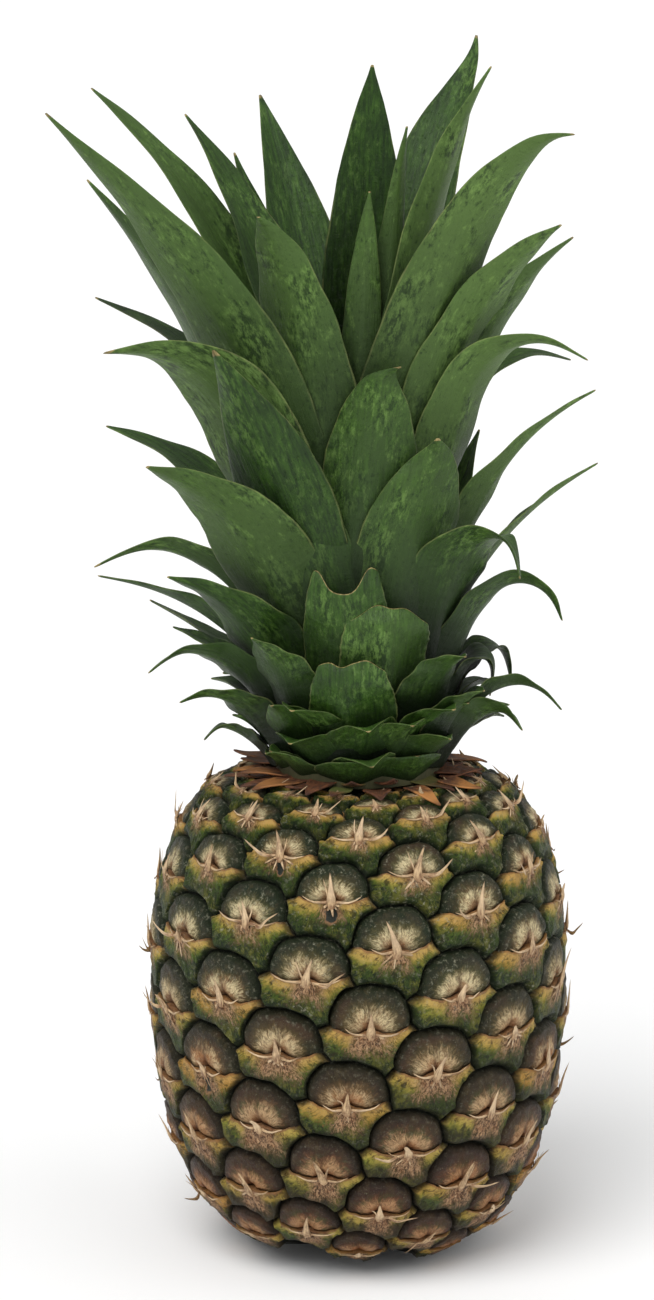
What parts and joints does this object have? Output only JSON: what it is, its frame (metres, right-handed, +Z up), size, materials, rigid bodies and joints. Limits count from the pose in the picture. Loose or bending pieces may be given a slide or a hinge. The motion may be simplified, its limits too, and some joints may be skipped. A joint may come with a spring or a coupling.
{
  "type": "whole pineapple",
  "caption": "Whole unpeeled pineapple with its leafy crown, standing upright on its base.",
  "frame": {"origin": "middle of the small flat spot that the fruit rests on", "axes": "+Z up along the fruit's axis to the crown, -Y towards the side shown in the picture, +X to the right of that view"},
  "size_m": [0.1644, 0.132, 0.3742],
  "materials": {
    "rind": "rough, slightly waxy rind",
    "crown_stem": "matte",
    "leaf": "satin with a waxy bloom"
  },
  "bodies": {
    "root": {"crown_stem": "crown_stem", "fruit": "rind", "leaf_back_1": "leaf", "leaf_back_2": "leaf", "leaf_back_3": "leaf", "leaf_back_4": "leaf", "leaf_far_1": "leaf", "leaf_far_2": "leaf", "leaf_far_3": "leaf", "leaf_far_4": "leaf", "leaf_far_5": "leaf", "leaf_far_6": "leaf", "leaf_front_1": "leaf", "leaf_front_10": "leaf", "leaf_front_2": "leaf", "leaf_front_3": "leaf", "leaf_front_4": "leaf", "leaf_front_5": "leaf", "leaf_front_6": "leaf", "leaf_front_7": "leaf", "leaf_front_8": "leaf", "leaf_front_9": "leaf", "leaf_left_1": "leaf", "leaf_left_10": "leaf", "leaf_left_11": "leaf", "leaf_left_12": "leaf", "leaf_left_13": "leaf", "leaf_left_14": "leaf", "leaf_left_15": "leaf", "leaf_left_16": "leaf", "leaf_left_17": "leaf", "leaf_left_2": "leaf", "leaf_left_3": "leaf", "leaf_left_4": "leaf", "leaf_left_5": "leaf", "leaf_left_6": "leaf", "leaf_left_7": "leaf", "leaf_left_8": "leaf", "leaf_left_9": "leaf", "leaf_right_1": "leaf", "leaf_right_10": "leaf", "leaf_right_11": "leaf", "leaf_right_12": "leaf", "leaf_right_13": "leaf", "leaf_right_14": "leaf", "leaf_right_15": "leaf", "leaf_right_16": "leaf", "leaf_right_17": "leaf", "leaf_right_18": "leaf", "leaf_right_19": "leaf", "leaf_right_2": "leaf", "leaf_right_3": "leaf", "leaf_right_4": "leaf", "leaf_right_5": "leaf", "leaf_right_6": "leaf", "leaf_right_7": "leaf", "leaf_right_8": "leaf", "leaf_right_9": "leaf"}
  },
  "joints": []
}
